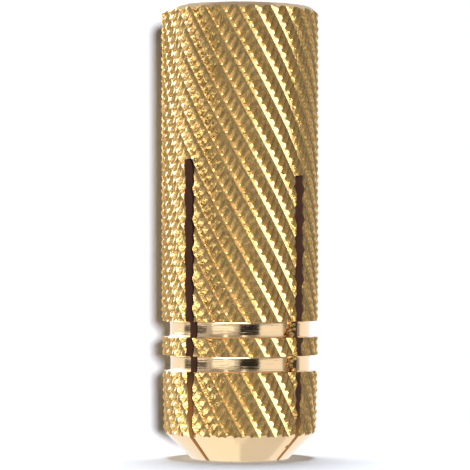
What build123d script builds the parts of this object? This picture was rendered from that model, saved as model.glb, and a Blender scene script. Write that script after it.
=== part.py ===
"""Brass expansion anchor: one turned and knurled sleeve, bored for a screw and slit from its tip.

The sleeve stands on its coned tip, with its axis on Z and the origin at the middle of the tip face.
Millimetres and degrees.
"""

import os
from math import ceil, cos, pi, radians, sin, tan

from build123d import *

# Turned outside
length = 28.5
outer_diameter = 10.0
top_chamfer = 0.4
tip_cone_width = 1.8
tip_cone_angle = 45.0
groove_width = 1.0
groove_depth = 0.54
lower_groove_height = 5.45
ring_between_grooves = 1.2

# Bore: the minor diameter of an M8 thread, then a short cone that the screw wedges apart
wall_thickness = 1.6
thread_end_height = 4.5
mouth_chamfer = 0.25
throat_step = 1.1
throat_height = 2.5

# Two saw cuts right across the sleeve make four legs, which are pinched together at the tip
slot_width = 0.75
deep_slot_height = 19.3
shallow_slot_height = 18.3
saw_radius = 25.0
slot_angle = 45.0
tip_pinch = 0.19
pinch_height = 13.0

# Crossed knurl: bold left-hand ridges, notched by right-hand grooves of half their pitch
ridge_pitch = 1.23
ridge_depth = 0.36
notch_depth = 0.24
knurl_angle = 30.5

radius = outer_diameter / 2
bore_radius = radius - wall_thickness
throat_radius = bore_radius - throat_step
lean = tan(radians(knurl_angle))
ridges = round(pi * outer_diameter * cos(radians(knurl_angle)) / ridge_pitch)
row_height = pi * outer_diameter / ridges / (4 * lean)


def leg_radius(height):
    """Radius over the crests: below the height where the pinch starts, the legs curve inwards"""
    bent = max(0.0, 1 - max(0.0, height) / pinch_height)
    return radius - tip_pinch * bent**2


def knurl_point(ridge, row, depth):
    """A point on a left-hand helix: a whole ridge is a crest, and a half one is a valley"""
    height = row * row_height
    angle = 2 * pi * ridge / ridges - lean * height / radius
    reach = leg_radius(height) - depth
    return Vector(reach * cos(angle), reach * sin(angle), height)


def knurled_bar(first_row, last_row):
    """A solid bar with flat facets: each peak falls to a notch above and below, and to both valleys"""

    def facet(*corners):
        return Face(Wire.make_polygon(corners))

    def notch(ridge, row):
        return knurl_point(ridge, row, notch_depth)

    def valley(ridge, row):
        return knurl_point(ridge, row, ridge_depth)

    facets = []
    for ridge in range(ridges):
        left, right = ridge - 1 / 2, ridge + 1 / 2
        for row in range(first_row, last_row):
            peak = knurl_point(ridge, row + 1 / 2, 0)
            around = [
                notch(ridge, row),
                valley(right, row + 1),
                valley(right, row + 2),
                notch(ridge, row + 1),
                valley(left, row),
                valley(left, row - 1),
            ]
            facets += [facet(peak, a, b) for a, b in zip(around, around[1:] + around[:1])]
        for row in (first_row, last_row):
            middle = Vector(0, 0, row * row_height)
            rim = [valley(left, row - 1), notch(ridge, row)]
            rim += [valley(right, row + step) for step in (1, 0, -1)]
            facets += [facet(middle, a, b) for a, b in zip(rim, rim[1:])]
    return Solid(Shell(facets))


def saw_cut(height):
    """A slot along Y: it closes towards the tip as the legs are pinched, and ends in the saw's arc"""
    tip_width = slot_width - 2 * pi * tip_pinch / 4
    with BuildPart() as cut:
        with BuildSketch(Plane.XZ):
            with BuildLine():
                Polyline(
                    (-tip_width / 2, 0),
                    (tip_width / 2, 0),
                    (slot_width / 2, height),
                    (-slot_width / 2, height),
                    close=True,
                )
            make_face()
        extrude(amount=outer_diameter, both=True)
        with BuildSketch(Plane.YZ):
            with Locations((0, height - saw_radius)):
                Circle(saw_radius)
        extrude(amount=slot_width, both=True, mode=Mode.INTERSECT)
    return cut.part


with BuildPart() as anchor_sleeve:
    # The wall in section, left wide of the crests so that only the chamfers and grooves cut the knurl
    with BuildSketch(Plane.XZ):
        with BuildLine():
            stock_radius = radius + ridge_depth
            tip_radius = radius - tip_cone_width
            chamfer_radius = radius - top_chamfer
            cone_height = (stock_radius - tip_radius) * tan(radians(tip_cone_angle))
            wall = [(throat_radius, 0), (tip_radius, 0), (stock_radius, cone_height)]
            upper_groove_height = lower_groove_height + groove_width + ring_between_grooves
            for groove_height in (lower_groove_height, upper_groove_height):
                groove_top = groove_height + groove_width
                floor = leg_radius(groove_height + groove_width / 2) - groove_depth
                wall += [(stock_radius, groove_height), (floor, groove_height)]
                wall += [(floor, groove_top), (stock_radius, groove_top)]
            wall += [
                (stock_radius, length - (stock_radius - chamfer_radius)),
                (chamfer_radius, length),
                (bore_radius, length),
                (bore_radius, thread_end_height),
                (throat_radius, throat_height),
            ]
            Polyline(*wall, close=True)
        make_face()
    revolve()
    mouth = anchor_sleeve.faces().sort_by(Axis.Z)[-1].edges().sort_by(SortBy.RADIUS)[0]
    chamfer(mouth, mouth_chamfer)

    add(saw_cut(shallow_slot_height), rotation=(0, 0, slot_angle), mode=Mode.SUBTRACT)
    add(saw_cut(deep_slot_height), rotation=(0, 0, slot_angle + 90), mode=Mode.SUBTRACT)

    spare_rows = 2
    knurl = knurled_bar(-spare_rows, ceil(length / row_height) + spare_rows)
    add(knurl, mode=Mode.INTERSECT, clean=False)

anchor_sleeve.part.label = "anchor_sleeve"
os.makedirs("parts", exist_ok=True)
export_step(anchor_sleeve.part, "parts/anchor_sleeve.step")
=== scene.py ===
"""Brass expansion anchor, standing on its coned tip in plain studio light.

The frame is the CAD's: Z runs along the sleeve's axis from the tip to the mouth, and the origin is
the middle of the tip face. Sizes are in millimetres, which mm turns into metres. Only the studio
cards and the lamps are placed in metres.
"""

import random
from math import cos, pi, radians, sin

import bpy
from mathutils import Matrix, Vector


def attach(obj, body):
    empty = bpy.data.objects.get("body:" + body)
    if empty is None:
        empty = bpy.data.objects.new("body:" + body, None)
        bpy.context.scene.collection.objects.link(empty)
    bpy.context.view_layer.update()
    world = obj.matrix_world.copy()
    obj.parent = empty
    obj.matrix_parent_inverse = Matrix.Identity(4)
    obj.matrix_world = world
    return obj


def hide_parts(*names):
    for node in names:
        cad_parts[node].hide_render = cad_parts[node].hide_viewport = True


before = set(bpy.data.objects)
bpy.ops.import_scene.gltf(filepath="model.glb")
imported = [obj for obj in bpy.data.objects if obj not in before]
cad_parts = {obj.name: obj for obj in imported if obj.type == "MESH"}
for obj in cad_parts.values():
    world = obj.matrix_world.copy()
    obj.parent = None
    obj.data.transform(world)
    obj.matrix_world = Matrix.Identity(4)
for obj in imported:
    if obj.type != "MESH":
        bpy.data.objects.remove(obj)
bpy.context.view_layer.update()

# Turned blank: brass bar, coned at the tip and chamfered at the mouth, with two grooves where the
# legs bend, whose floors are faintly bowed and rounded into their walls. The legs are pinched
# together at the tip, so the groove floors follow them in. The knurl cuts the rest of the outside.
mm = 0.001
outer_radius = 4.996
length = 28.5
tip_radius = 3.1
top_chamfer = 0.4
tip_pinch = 0.19
pinch_height = 13.0
spare_stock = 0.3
edge_ease = 0.03
groove_width = 1.0
groove_depth = 0.54
groove_heights = (5.56, 7.71)
groove_round = 0.11
groove_round_turns = (0, 25, 50, 72)
groove_bow = 0.018
bore_radius = 3.4
bore_bottom = 4.5
mouth_chamfer = 0.25
throat_radius = 2.3
throat_height = 2.5
blank_segments = 288


def leg_radius(height):
    """Radius over the knurl's crests: below the pinch height, the legs curve inwards"""
    bent = max(0.0, 1 - max(0.0, height) / pinch_height)
    return outer_radius - tip_pinch * bent ** 2


def groove_section(base, stock):
    """Down the lower wall of a groove, along its floor and up the other wall"""
    top = base + groove_width
    floor = leg_radius(base + groove_width / 2) - groove_depth
    lower_half = [(stock, base)]
    for turn in groove_round_turns:
        away = groove_round * (1 - sin(radians(turn)))
        climb = groove_round * (1 - cos(radians(turn)))
        lower_half.append((floor + groove_bow + away, base + climb))
    lower_half.append((floor + groove_bow, base + groove_round))
    lower_half.append((floor + groove_bow / 4, base + groove_width / 4))
    upper_half = [(reach, top + base - height) for reach, height in reversed(lower_half)]
    return lower_half + [(floor, base + groove_width / 2)] + upper_half


def blank_section():
    """Up the outside and down the bore, as radii and heights"""
    stock = outer_radius + spare_stock
    mouth = outer_radius - top_chamfer
    section = [(throat_radius, 0), (tip_radius - edge_ease, 0), (tip_radius, edge_ease / 2)]
    section.append((stock, stock - tip_radius))
    for base in groove_heights:
        section += groove_section(base, stock)
    section += [(stock, length - (stock - mouth)), (mouth + edge_ease, length - edge_ease)]
    section += [(mouth - edge_ease, length), (bore_radius + mouth_chamfer, length)]
    section += [(bore_radius, length - mouth_chamfer), (bore_radius, bore_bottom)]
    section.append((throat_radius, throat_height))
    return section


def linked(name, points, faces):
    """A mesh object from points in millimetres"""
    mesh = bpy.data.meshes.new(name)
    mesh.from_pydata([Vector(p) * mm for p in points], [], faces)
    piece = bpy.data.objects.new(name, mesh)
    bpy.context.scene.collection.objects.link(piece)
    return piece


section = blank_section()
corners = len(section)
points, faces = [], []
for step in range(blank_segments):
    turn = 2 * pi * step / blank_segments
    points += [(reach * cos(turn), reach * sin(turn), height) for reach, height in section]
    this = step * corners
    following = (step + 1) % blank_segments * corners
    for i in range(corners):
        j = (i + 1) % corners
        faces.append((this + i, following + i, following + j, this + j))
sleeve = linked("knurled_sleeve", points, faces)

# Thread: cut in the bore by an M8 tap, to a little above the narrow throat. The tap is one helical
# strip, whose turns share their edges, closed by a fan at each end.
thread_pitch = 1.25
thread_major_radius = 4.0
thread_minor_radius = bore_radius - 0.02
thread_bottom = 4.6
turns = 20
turn_steps = 48
tap_profile = (
    (0.0, thread_minor_radius),
    (0.2, thread_minor_radius),
    (0.55, thread_major_radius),
    (0.65, thread_major_radius),
)

lanes = len(tap_profile)
steps = turns * turn_steps
points, faces = [], []
for i in range(steps + turn_steps + 1):
    turn = 2 * pi * i / turn_steps
    for share, reach in tap_profile:
        height = thread_bottom + thread_pitch * (i / turn_steps - 1 + share)
        points.append((reach * cos(turn), reach * sin(turn), height))
for i in range(steps):
    here, after = lanes * i, lanes * (i + 1)
    above, above_after = lanes * (i + turn_steps), lanes * (i + turn_steps + 1)
    faces += [(here + k, after + k, after + k + 1, here + k + 1) for k in range(lanes - 1)]
    faces.append((here + lanes - 1, after + lanes - 1, above_after, above))
foot, head = len(points), len(points) + 1
points.append((0, 0, thread_bottom - thread_pitch))
points.append((0, 0, thread_bottom + thread_pitch * (turns + 1)))
first_rim = [lanes * i for i in range(turn_steps + 1)]
first_rim += list(range(lanes - 1, 0, -1))
last_rim = [lanes * (steps + i) for i in range(turn_steps + 1)]
last_rim += [lanes * steps + k for k in range(lanes - 1, 0, -1)]
faces += [(foot, b, a) for a, b in zip(first_rim, first_rim[1:] + first_rim[:1])]
faces += [(head, a, b) for a, b in zip(last_rim, last_rim[1:] + last_rim[:1])]
tap = linked("tap", points, faces)

# Saw cuts: two slots right across the sleeve make its four legs. One is deeper than the other, and
# the saw left their walls ragged, the shallow one's most. They close towards the pinched tip.
saw_cut_measures = {
    "deep_cut": {"angle": 225, "height": 19.3, "ragged": 0.006},
    "shallow_cut": {"angle": 315, "height": 18.3, "ragged": 0.022},
}
slot_widths = (
    (-0.5, 0.26),
    (1.8, 0.34),
    (3.0, 0.42),
    (5.4, 0.52),
    (8.7, 0.62),
    (13.0, 0.72),
    (30.0, 0.75),
)
root_width = 0.75
root_arch = ((1.04, 0.45), (0.95, 0.8), (0.62, 1.0), (-0.62, 1.0), (-0.95, 0.8), (-1.04, 0.45))
arch_room = 0.3
saw_radius = 25.0
saw_tooth = 0.35
cut_bottom = -0.5
cut_places = (-6.0, -4.6, -3.0, 3.0, 4.6, 6.0)
saw_rng = random.Random(8)


def slot_width(z):
    """The slot's width at a height, between the widths measured up the leg"""
    for (low, narrow), (high, wide) in zip(slot_widths, slot_widths[1:]):
        if z <= high:
            return narrow + (wide - narrow) * (z - low) / (high - low)


def saw_cut(name, angle, height, ragged):
    """What the saw takes away: a ring of points at each place across the sleeve, joined up"""
    levels = [cut_bottom + saw_tooth * k for k in range(int((height - arch_room) / saw_tooth) + 2)]
    along = Vector((cos(radians(angle)), sin(radians(angle)), 0))
    across = Vector((-along.y, along.x, 0))
    points, faces, rings = [], [], []
    for place in cut_places:
        sag = saw_radius - (saw_radius ** 2 - place ** 2) ** 0.5
        crown = height - sag
        left, right = [], []
        for z in levels:
            half = slot_width(z) / 2
            left.append((-half + saw_rng.uniform(-ragged, ragged), z))
            right.append((half + saw_rng.uniform(-ragged, ragged), z))
        last = levels[-1]
        arch = [(root_width / 2 * s, last + (crown - last) * t) for s, t in root_arch]
        ring = right + arch + left[::-1]
        rings.append(len(points))
        points += [tuple(along * place + across * u + Vector((0, 0, z))) for u, z in ring]
        count = len(ring)
    for near, far in zip(rings, rings[1:]):
        for k in range(count):
            following = (k + 1) % count
            faces.append((near + k, near + following, far + following, far + k))
    faces.append(tuple(range(rings[0] + count - 1, rings[0] - 1, -1)))
    faces.append(tuple(range(rings[-1], rings[-1] + count)))
    return linked(name, points, faces)


saw_cuts = [saw_cut(name, **measures) for name, measures in saw_cut_measures.items()]


# Crossed knurl: rolled into the brass by two wheels. Bold left-hand ridges have one steep side and
# one long stepped side, and right-hand grooves of half their pitch notch them. The rolled lines
# cross in a lattice that the mesh follows, on a bar that is then cut to the blank.
class Field:
    """Wraps a socket, so that sums on geometry and shader values are written as expressions"""

    def __init__(self, tree, socket=None):
        self.tree, self.socket = tree, socket

    def node(self, kind, settings=None, outlet=0, **inlets):
        """Any node: its settings, then its inlets by name, or by number as n0, n1 and so on"""
        made = self.tree.nodes.new(kind)
        for key, value in (settings or {}).items():
            setattr(made, key, value)
        for key, value in inlets.items():
            inlet = made.inputs[int(key[1:]) if key[1:].isdigit() else key.replace("_", " ")]
            for source in value if isinstance(value, list) else [value]:
                if isinstance(source, Field):
                    self.tree.links.new(source.socket, inlet)
                else:
                    inlet.default_value = source
        return Field(self.tree, made.outputs[outlet])

    def maths(self, operation, other=0.0, turned_round=False):
        """One step of a sum, with a number or another value"""
        first, second = (other, self) if turned_round else (self, other)
        return self.node("ShaderNodeMath", {"operation": operation}, n0=first, n1=second)

    def held(self, low=0.0, high=1.0):
        """The value, kept between two others"""
        return self.maths("MAXIMUM", low).maths("MINIMUM", high)

    def __add__(self, other):
        return self.maths("ADD", other)

    def __sub__(self, other):
        return self.maths("SUBTRACT", other)

    def __mul__(self, other):
        return self.maths("MULTIPLY", other)

    def __truediv__(self, other):
        return self.maths("DIVIDE", other)

    def __radd__(self, other):
        return self.maths("ADD", other, True)

    def __rsub__(self, other):
        return self.maths("SUBTRACT", other, True)

    def __rmul__(self, other):
        return self.maths("MULTIPLY", other, True)

    def __rtruediv__(self, other):
        return self.maths("DIVIDE", other, True)


def curve_of(field, points):
    """A value read from a curve with straight runs"""
    made = field.node("ShaderNodeFloatCurve", Value=field)
    mapping = made.socket.node.mapping
    curve = mapping.curves[0]
    while len(curve.points) < len(points):
        curve.points.new(0.5, 0.5)
    for point, (x, y) in zip(curve.points, points):
        point.location = (x, y)
        point.handle_type = "VECTOR"
    mapping.update()
    return made


# Each profile runs across one ridge, or one notch, and gives its share of the depth: the steep
# flank, the long stepped side, and how far the notches reach over the ridge.
flank_profile = [(0, 1), (0.25, 0.1), (0.375, 0), (0.875, 0), (1, 1)]
stepped_profile = [(0, 0), (0.25, 0), (0.375, 0.14), (0.5, 0.38)]
stepped_profile += [(0.625, 0.44), (0.75, 0.58), (0.875, 0.78), (1, 1)]
notch_share = [(0, 1), (0.625, 1), (0.75, 0.8), (0.875, 0.35), (1, 0)]
notch_profile = [(0, 0), (0.5, 1), (1, 0)]
crest_round = 0.026
columns_a_ridge = 8
rows_a_lead = 16

tree = bpy.data.node_groups.new("crossed knurl", "GeometryNodeTree")
sizes = {
    "Ridges": ("NodeSocketInt", 28),
    "Rows": ("NodeSocketInt", 258),
    "Start Height": ("NodeSocketFloat", -1.034 * mm),
    "Turn": ("NodeSocketFloat", 0.043),
    "Outer Radius": ("NodeSocketFloat", (outer_radius + crest_round) * mm),
    "Ridge Lead": ("NodeSocketFloat", 1.863 * mm),
    "Ridge Depth": ("NodeSocketFloat", 0.225 * mm),
    "Notch Depth": ("NodeSocketFloat", 0.13 * mm),
    "Tip Pinch": ("NodeSocketFloat", tip_pinch * mm),
    "Pinch Height": ("NodeSocketFloat", pinch_height * mm),
    "Roughness": ("NodeSocketFloat", 0.012 * mm),
    "Seed": ("NodeSocketFloat", 3.0),
    "Burrs": ("NodeSocketInt", 56),
    "Burr Radius": ("NodeSocketFloat", 0.12 * mm),
    "Deep Cut": ("NodeSocketObject", saw_cuts[0]),
    "Shallow Cut": ("NodeSocketObject", saw_cuts[1]),
    "Tap": ("NodeSocketObject", tap),
    "Turned Finish": ("NodeSocketMaterial", None),
    "Knurled Finish": ("NodeSocketMaterial", None),
    "Sawn Finish": ("NodeSocketMaterial", None),
    "Threaded Finish": ("NodeSocketMaterial", None),
}
tree.interface.new_socket("Blank", in_out="INPUT", socket_type="NodeSocketGeometry")
sockets = {}
for name, (kind, _) in sizes.items():
    sockets[name] = tree.interface.new_socket(name, in_out="INPUT", socket_type=kind)
tree.interface.new_socket("Sleeve", in_out="OUTPUT", socket_type="NodeSocketGeometry")
entry = tree.nodes.new("NodeGroupInput")
given = {socket.name: Field(tree, socket) for socket in entry.outputs if socket.name}
start = Field(tree)


def around(angle, reach, height):
    """The point at an angle, a radius and a height"""
    return angle.node("ShaderNodeCombineXYZ", X=angle.maths("COSINE") * reach,
                      Y=angle.maths("SINE") * reach, Z=height)


# The lattice: each row of points lies half a column further round than the row below it, so that
# one lead up, it has moved on by one ridge.
columns = given["Ridges"] * columns_a_ridge
row_height = given["Ridge Lead"] / rows_a_lead
bar_length = row_height * given["Rows"]
bar = start.node("GeometryNodeMeshCylinder", {"fill_type": "NGON"}, Vertices=columns,
                 Side_Segments=given["Rows"], Radius=given["Outer Radius"], Depth=bar_length)
place = start.node("GeometryNodeInputPosition")
apart = [place.node("ShaderNodeSeparateXYZ", outlet=i, Vector=place) for i in range(3)]
row = ((apart[2] + bar_length / 2) / row_height).maths("ROUND")
column = (apart[1].maths("ARCTAN2", apart[0]) / (2 * pi) * columns).maths("ROUND")
leaning = (column * 2 + row) / (columns * 2) * (2 * pi) + given["Turn"]
height = row * row_height + given["Start Height"]
spot = around(leaning, given["Outer Radius"], height)
lattice = bar.node("GeometryNodeSetPosition", Geometry=bar, Position=spot)
lattice = bar.node("GeometryNodeTriangulate", Mesh=lattice)

# Where a point lies across its ridge and its notch, from 0 to 1
angle = apart[1].maths("ARCTAN2", apart[0])
turn_share = (angle - given["Turn"]) / (2 * pi)
rise = (apart[2] - given["Start Height"]) / given["Ridge Lead"]
ridge_phase = (given["Ridges"] * turn_share + rise).maths("FRACT")
notch_phase = (given["Ridges"] * 2 * turn_share - rise * 2).maths("FRACT")


def grain(scale, seed):
    """Even noise from 0 to 1, at so many grains a millimetre"""
    return place.node("ShaderNodeTexNoise", {"noise_dimensions": "4D"}, Vector=place, W=seed,
                      Scale=scale / mm, Detail=1.0)


# The depth: the wheels bit unevenly, and the metal between their teeth is left a little rough
ridge_depth = given["Ridge Depth"] * (0.8 + grain(0.4, given["Seed"]) * 0.4)
notch_depth = given["Notch Depth"] * (0.7 + grain(0.5, given["Seed"] + 5) * 0.6)
flank_cut = curve_of(ridge_phase, flank_profile) * ridge_depth
notch_cut = curve_of(notch_phase, notch_profile) * curve_of(ridge_phase, notch_share) * notch_depth
depth = flank_cut.maths("MAXIMUM", curve_of(ridge_phase, stepped_profile) * ridge_depth + notch_cut)
bent = (1 - apart[2].maths("MAXIMUM") / given["Pinch Height"]).maths("MAXIMUM")
reach = given["Outer Radius"] - given["Tip Pinch"] * bent * bent - depth
reach = reach - given["Roughness"] * grain(9.0, given["Seed"] + 9)
spot = around(angle, reach, apart[2])
bar = place.node("GeometryNodeSetPosition", Geometry=lattice, Position=spot)
bar = place.node("GeometryNodeSetShadeSmooth", Geometry=bar, Shade_Smooth=False)

# Cutting: the blank keeps what lies inside the knurled bar, and then the saw and the tap cut it. A
# small nick on the cone, beside the right-hand slot, is cut with them. Every face is marked with
# the finish of what made it.
turned_mark, knurled_mark, sawn_mark, threaded_mark = range(4)
nick_radius = 0.15
nick_place = Vector((2.70, -2.93, 0.93))


def marked(geometry, number):
    """The same faces, with the number of the finish that they leave on what they cut"""
    return geometry.node("GeometryNodeStoreNamedAttribute", {"data_type": "INT", "domain": "FACE"},
                         Geometry=geometry, Name="finish", Value=number)


def tool_mesh(name, number):
    """A cutting tool that was made above, with its mark"""
    tool = start.node("GeometryNodeObjectInfo", {"transform_space": "RELATIVE"}, outlet="Geometry",
                      Object=given[name])
    return marked(tool, number)


def combined(operation, **meshes):
    """What closed meshes share, what they make together, or what they leave of the first"""
    settings = {"operation": operation, "solver": "MANIFOLD"}
    return start.node("GeometryNodeMeshBoolean", settings, **meshes)


blank_and_bar = [marked(given["Blank"], turned_mark), marked(bar, knurled_mark)]
knurled_blank = combined("INTERSECT", Mesh_2=blank_and_bar)
nick = start.node("GeometryNodeMeshIcoSphere", Radius=nick_radius * mm, Subdivisions=2)
nick = start.node("GeometryNodeTransform", Geometry=nick, Translation=nick_place * mm)
tools = [tool_mesh("Deep Cut", sawn_mark), tool_mesh("Shallow Cut", sawn_mark)]
tools += [tool_mesh("Tap", threaded_mark), marked(nick, sawn_mark)]
cut = combined("DIFFERENCE", Mesh_1=knurled_blank, Mesh_2=tools)

# Burrs: where the right-hand slot crosses the grooves, the saw left crumbs of torn brass on its
# left lip. They are small lumps, scattered along the lip and grown together with the sleeve.
burr_start = 5.2
burr_step = 0.068
burr_angles = (306.8, 311.8)
burr_reach = (4.33, 4.80)


def scattered(low, high, seed):
    """A random value for every point, between two others"""
    return start.node("FunctionNodeRandomValue", outlet=1, n2=low, n3=high, n8=seed)


angle = scattered(radians(burr_angles[0]), radians(burr_angles[1]), 1)
reach = scattered(burr_reach[0] * mm, burr_reach[1] * mm, 2)
spot = around(angle, reach, apart[2])
crumbs = start.node("GeometryNodeMeshLine", {"mode": "OFFSET"}, Count=given["Burrs"],
                    Start_Location=(0, 0, burr_start * mm), Offset=(0, 0, burr_step * mm))
crumbs = start.node("GeometryNodeSetPosition", Geometry=crumbs, Position=spot)
crumb = start.node("GeometryNodeMeshIcoSphere", Radius=given["Burr Radius"], Subdivisions=2)
crumbs = start.node("GeometryNodeInstanceOnPoints", Points=crumbs, Instance=crumb)
crumbs = start.node("GeometryNodeRealizeInstances", Geometry=crumbs)
cut = combined("UNION", Mesh_2=[cut, marked(crumbs, knurled_mark)])

# The tree ends in one real mesh, with a material for each mark
cut = start.node("GeometryNodeRealizeInstances", Geometry=cut)
mark = start.node("GeometryNodeInputNamedAttribute", {"data_type": "INT"}, Name="finish")
for number, name in enumerate(("Turned Finish", "Knurled Finish", "Sawn Finish", "Threaded Finish")):
    cut = cut.node("GeometryNodeSetMaterial", Geometry=cut, Selection=mark.maths("COMPARE", number),
                   Material=given[name])
leave = tree.nodes.new("NodeGroupOutput")
tree.links.new(cut.socket, leave.inputs[0])


# Finishes: bright brass throughout. The knurl is left as it was rolled, with rougher pits whose
# brown is partly painted shade and partly tarnish. The grooves are turned to a mirror, with rings
# that are fainter on the cone. Both have a thin clear coat. The sawn walls are torn, and painted
# dark as the shade inside the slots, with painted light that makes them brighter towards the tip.
def finish(name, metallic=1.0):
    """A material, a field to build its values with, and its shader"""
    material = bpy.data.materials.new(name)
    material.use_nodes = True
    shader = material.node_tree.nodes["Principled BSDF"]
    shader.inputs["Metallic"].default_value = metallic
    return material, Field(material.node_tree), shader


def feed(field, inlet):
    """Links a value to a shader's socket"""
    field.tree.links.new(field.socket, inlet)


def blend(factor, low, high):
    """A colour between two others"""
    return factor.node("ShaderNodeMix", {"data_type": "RGBA"}, outlet=2, n0=factor, n6=low, n7=high)


def rgb(*levels):
    """An opaque colour"""
    return (*levels, 1.0)


def object_places(field):
    """The point on the piece, whole and as its three coordinates"""
    where = field.node("ShaderNodeTexCoord", outlet="Object")
    return where, [where.node("ShaderNodeSeparateXYZ", outlet=i, Vector=where) for i in range(3)]


def depth_below_crests(x, y, z):
    """Millimetres from the surface in to the point, along its radius"""
    radius = (x * x + y * y).maths("SQRT") / mm
    bent = (1 - z.maths("MAXIMUM") / (pinch_height * mm)).maths("MAXIMUM")
    return outer_radius - tip_pinch * bent * bent - radius


def noise(where, grains, detail=2.0):
    """Noise from 0 to 1, at so many grains a millimetre"""
    return where.node("ShaderNodeTexNoise", Vector=where, Scale=grains / mm, Detail=detail)


# Rolled brass: from so deep in the pits, the colour darkens towards brown over so many millimetres
# more, partly painted shade and partly tarnish, and the metal grows rougher
pit_shade_from = 0.05
pit_shade_over = 0.15
knurled, field, shader = finish("knurled brass")
where, (x, y, z) = object_places(field)
pit = ((depth_below_crests(x, y, z) - pit_shade_from) / pit_shade_over).held()
tarnish = noise(where, 1.3)
metal = blend(tarnish, rgb(0.93, 0.53, 0.135), rgb(0.96, 0.585, 0.18))
# Painted shade, partly tarnish: the colour darkens towards brown deeper in the pits
pit_shade_and_tarnish = (pit * (0.75 + tarnish * 0.5)).maths("MINIMUM", 1.0)
feed(blend(pit_shade_and_tarnish, metal, rgb(0.43, 0.29, 0.10)), shader.inputs["Base Color"])
feed(0.17 + pit * 0.14 + noise(where, 9.0) * 0.06, shader.inputs["Roughness"])
crumble = noise(where, 6.0, 3.0)
bumps = crumble.node("ShaderNodeBump", Strength=0.9, Distance=0.05 * mm, Height=crumble)
feed(bumps, shader.inputs["Normal"])
shader.inputs["Coat Weight"].default_value = 0.7
shader.inputs["Coat IOR"].default_value = 1.6
shader.inputs["Coat Roughness"].default_value = 0.14

# Turned brass: the tool's rings run round it, and the cone shows only a share of them
ring_stretch = (0.07, 0.07, 1.0)
rings_from = 2.0
cone_share = 0.2
turned, field, shader = finish("turned brass")
where, (x, y, z) = object_places(field)
metal = blend(noise(where, 0.7), rgb(0.95, 0.67, 0.37), rgb(0.97, 0.72, 0.43))
feed(metal, shader.inputs["Base Color"])
stretched = where.node("ShaderNodeVectorMath", {"operation": "MULTIPLY"}, n0=where, n1=ring_stretch)
ring = noise(stretched, 8.0, 3.0)
smear = noise(where, 1.5)
feed(0.07 + ring * 0.06 + smear * 0.05, shader.inputs["Roughness"])
above_cone = (z / mm - rings_from).held(cone_share)
bumps = ring.node("ShaderNodeBump", Strength=1.0, Distance=0.014 * mm, Height=ring * above_cone)
feed(bumps, shader.inputs["Normal"])
shader.inputs["Coat Weight"].default_value = 0.5

# Sawn brass: painted dark as the shade inside the slots, with painted light that makes the walls
# warmer on the left below the grooves and brighter still near the tip
painted_light_below = 5.5
painted_light_over = 1.5
tip_light_below = 3.2
tip_light_over = 2.2
sawn, field, shader = finish("sawn brass", metallic=0.3)
where, (x, y, z) = object_places(field)
# Painted light: the slot walls get brighter towards the tip, and warmer on the left below the
# grooves
tip_light = ((tip_light_below * mm - z) / (tip_light_over * mm)).held()
light_below_grooves = ((painted_light_below * mm - z) / (painted_light_over * mm)).held()
light_on_left = (x * -1 / mm).held()
# Painted shade: the slot walls are dark brown, as the shade inside the slots
slot_shade_and_light = blend(noise(where, 2.0), rgb(0.05, 0.025, 0.018), rgb(0.11, 0.05, 0.03))
slot_shade_and_light = blend(light_below_grooves * light_on_left * 0.7, slot_shade_and_light, rgb(0.42, 0.17, 0.045))
feed(blend(tip_light * 0.8, slot_shade_and_light, rgb(0.50, 0.25, 0.08)), shader.inputs["Base Color"])
shader.inputs["Roughness"].default_value = 0.55

# Threaded brass: plain cut metal
threaded, field, shader = finish("threaded brass")
where, (x, y, z) = object_places(field)
metal = blend(noise(where, 1.0), rgb(0.85, 0.60, 0.30), rgb(0.92, 0.68, 0.36))
feed(metal, shader.inputs["Base Color"])
shader.inputs["Roughness"].default_value = 0.25

# Finished sleeve: the blank with its knurl, slots and thread as one plain mesh, in the place of the
# CAD's solid. Only edges sharper than the faint steps of the rolling stay crisp.
crisp_edge = 22
finishes = {
    "Turned Finish": turned,
    "Knurled Finish": knurled,
    "Sawn Finish": sawn,
    "Threaded Finish": threaded,
}
sleeve.data.materials.append(turned)
modifier = sleeve.modifiers.new("crossed knurl", "NODES")
modifier.node_group = tree
for name, (_, value) in sizes.items():
    modifier[sockets[name].identifier] = finishes.get(name, value)

bpy.context.view_layer.update()
seen = sleeve.evaluated_get(bpy.context.evaluated_depsgraph_get())
solid = bpy.data.meshes.new_from_object(seen)
sleeve.modifiers.clear()
sleeve.data = solid
solid.name = "knurled_sleeve"
solid.set_sharp_from_angle(angle=radians(crisp_edge))
for tool in saw_cuts + [tap]:
    bpy.data.objects.remove(tool)
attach(sleeve, "root")
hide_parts("anchor_sleeve")

# Camera: level, about 165 mm away, a little left of the front, with the anchor filling the height
# of the picture. Its measures in pixels are those of the photograph.
picture_width = 470
focal_length = 2600
shift_right, shift_up = -5, 37
sensor_width = 36
view_turn = 4.65
view_distance = 164.46 / cos(radians(view_turn))
view_height = 11.8

camera_data = bpy.data.cameras.new("camera")
camera_data.lens = sensor_width * focal_length / picture_width
camera_data.shift_x = shift_right / picture_width
camera_data.shift_y = shift_up / picture_width
camera_data.clip_start = 0.01
camera = bpy.data.objects.new("camera", camera_data)
bpy.context.scene.collection.objects.link(camera)
camera.location = (
    -view_distance * mm * sin(radians(view_turn)),
    -view_distance * mm * cos(radians(view_turn)),
    view_height * mm,
)
camera.rotation_euler = (radians(90), 0, -radians(view_turn))
bpy.context.scene.camera = camera

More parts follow.
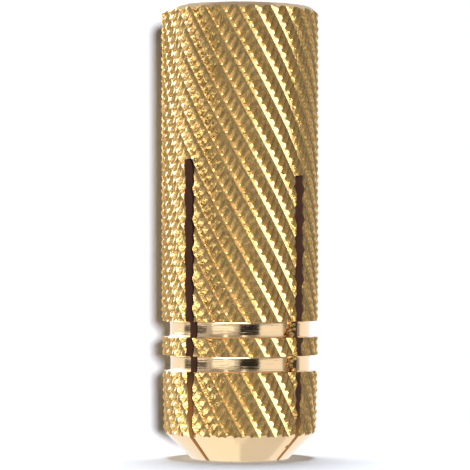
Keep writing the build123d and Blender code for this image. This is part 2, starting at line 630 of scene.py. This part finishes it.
# World: the room beyond the cards. It lights the anchor dimly, but is white where the camera or a
# reflection looks straight at it.
dim_light = 0.06
world = bpy.data.worlds.new("studio")
bpy.context.scene.world = world
world.use_nodes = True
world.node_tree.nodes.clear()
sky = Field(world.node_tree)
seen_white = sky.node("ShaderNodeLightPath", outlet="Is Camera Ray")
for kind in ("Is Glossy Ray", "Is Transmission Ray"):
    seen_white = seen_white.maths("MAXIMUM", sky.node("ShaderNodeLightPath", outlet=kind))
brightness = dim_light + seen_white * (1 - dim_light)
light = sky.node("ShaderNodeBackground", Color=(1, 1, 1, 1), Strength=brightness)
out = world.node_tree.nodes.new("ShaderNodeOutputWorld")
world.node_tree.links.new(light.socket, out.inputs["Surface"])

# Studio cards: bright, grey and black panels on a sphere round the anchor. Only the metal sees
# them, so that each facet of the knurl and each stretch of the grooves shows what it faces.
card_steps = 12


def card(name, azimuths, elevations, strength, distance):
    """A curved panel round the anchor: its angles are in degrees from the camera's side"""
    points, faces = [], []
    for i in range(card_steps + 1):
        a = radians(azimuths[0] + (azimuths[1] - azimuths[0]) * i / card_steps - view_turn)
        for k in range(card_steps + 1):
            e = radians(elevations[0] + (elevations[1] - elevations[0]) * k / card_steps)
            points.append([distance / mm * v for v in (sin(a) * cos(e), -cos(a) * cos(e), sin(e))])
    for i in range(card_steps):
        for k in range(card_steps):
            at = i * (card_steps + 1) + k
            faces.append((at, at + 1, at + card_steps + 2, at + card_steps + 1))
    panel = linked(name, points, faces)
    material = bpy.data.materials.new(name)
    material.use_nodes = True
    material.node_tree.nodes.clear()
    field = Field(material.node_tree)
    glow = field.node("ShaderNodeEmission", Color=(1, 1, 1, 1), Strength=strength)
    out = material.node_tree.nodes.new("ShaderNodeOutputMaterial")
    material.node_tree.links.new(glow.socket, out.inputs["Surface"])
    panel.data.materials.append(material)
    panel.visible_camera = panel.visible_diffuse = panel.visible_shadow = False


# Low in front and on the left: the steep flanks of the ridges, and the cone
card("softbox_low", (-49, 16), (-52, -22), 6.6, 0.398)
card("softbox_low_left", (-95, -52), (-28, -18), 0.9, 0.39)
card("low_left_dim", (-95, -49), (-50, -28), 0.5, 0.40)
card("low_left_far", (-125, -95), (-48, -12), 0.4, 0.40)
card("low_left_back", (-146, -125), (-23, -10), 0.5, 0.40)
card("low_grey", (-52, 4), (-26, -18), 0.55, 0.40)

# Level in front on the left: the bright stretch of the grooves
card("softbox", (-46, -9), (-9, 3), 1.35, 0.40)
card("softbox_edge", (-9, -1), (-9, 3), 0.7, 0.40)
card("softbox_under", (-61, -30), (-18, -9), 0.6, 0.40)
card("under_dim", (-30, 4), (-18, -9), 0.45, 0.40)
card("softbox_dim", (-52, 4), (3, 18), 0.32, 0.40)

# Above it in front: the bright specks in the middle of the knurl
card("slit_left", (-27, -21), (10, 42), 1.7, 0.39)
card("slit_front", (4, 10), (10, 42), 1.7, 0.39)
card("front_dim_above", (4, 31), (10, 18), 0.32, 0.40)

# Flags, black and grey, beside it: the dark streaks in the grooves
card("flag_front", (-1, 32), (-18, 10), 0.02, 0.395)
card("flag_left_soft", (-56, -46), (-9, 5), 0.5, 0.398)
card("flag_left", (-104, -56), (-7, 5), 0.10, 0.39)

# Raised on the left: the bright edge of the knurl
card("rise_left_bright", (-172, -112), (6, 34), 7.0, 0.39)
card("rise_left_fade", (-112, -88), (7, 34), 1.5, 0.39)
card("rise_left", (-88, -74), (7, 34), 0.5, 0.39)
card("rise_left_dim", (-74, -52), (7, 30), 0.45, 0.39)

# On the right: the shaded side
card("right_dim_above", (27, 72), (10, 24), 0.7, 0.398)
card("right_dim_below", (27, 68), (-18, -11), 0.5, 0.40)
card("flag_right", (75, 115), (-18, 18), 0.25, 0.40)

# The grey room above and below, behind all the others
card("upper_grey", (-80, 112), (18, 60), 0.33, 0.50)
card("upper_back", (112, 248), (18, 60), 0.60, 0.50)
card("overhead_grey", (-180, 180), (60, 90), 0.38, 0.50)
card("lower_right_grey", (4, 112), (-50, -18), 0.3, 0.50)
card("below_middle", (-180, 180), (-90, -82), 0.92, 0.45)
card("below_right", (0, 180), (-90, -50), 0.75, 0.50)
card("below_left", (-180, 0), (-90, -50), 1.10, 0.50)

# Sweep: one sheet of pale card is the floor, a cove close behind the anchor, and an upright that
# takes the anchor's shadow. It is clear from behind, and the metal doesn't reflect it.
sheet_front, sheet_back = -400, 8.5
cove_radius = 1.5
sheet_top = 60
sheet_half_width = 400
cove_turns = range(0, 91, 6)

line = [(sheet_front, 0)]
for turn in cove_turns:
    forward = cove_radius * sin(radians(turn))
    climb = cove_radius - cove_radius * cos(radians(turn))
    line.append((sheet_back - cove_radius + forward, climb))
line.append((sheet_back, sheet_top))
points = [(x, y, z) for y, z in line for x in (-sheet_half_width, sheet_half_width)]
faces = [(2 * i, 2 * i + 1, 2 * i + 3, 2 * i + 2) for i in range(len(line) - 1)]
sheet = linked("sweep", points, faces)
sheet.data.shade_smooth()

material = bpy.data.materials.new("sweep")
material.use_nodes = True
material.node_tree.nodes.clear()
field = Field(material.node_tree)
matt = field.node("ShaderNodeBsdfDiffuse", Color=(0.66, 0.69, 0.75, 1))
clear = field.node("ShaderNodeBsdfTransparent")
behind = field.node("ShaderNodeNewGeometry", outlet="Backfacing")
surface = field.node("ShaderNodeMixShader", n0=behind, n1=matt, n2=clear)
out = material.node_tree.nodes.new("ShaderNodeOutputMaterial")
material.node_tree.links.new(surface.socket, out.inputs["Surface"])
sheet.data.materials.append(material)
sheet.visible_glossy = sheet.visible_diffuse = sheet.visible_shadow = False

# Lamps: a small key lamp in front, which casts the shadow, and a larger one overhead and behind.
# Both point at the middle of the anchor.
aim = Vector((0, 0, 0.014))


def lamp(name, place, size, watts):
    """A round lamp that the metal doesn't reflect: the studio cards stand in for it"""
    data = bpy.data.lights.new(name, "AREA")
    data.shape = "DISK"
    data.size = size
    data.energy = watts
    made = bpy.data.objects.new(name, data)
    bpy.context.scene.collection.objects.link(made)
    made.location = place
    made.rotation_euler = (aim - made.location).to_track_quat("-Z", "Y").to_euler()
    made.visible_glossy = False


lamp("key", (0.012, -0.65, 0.048), 0.062, 6.2)
lamp("overhead", (0.0, 0.09, 0.6), 0.24, 5.4)

bpy.context.scene.view_settings.view_transform = "Standard"
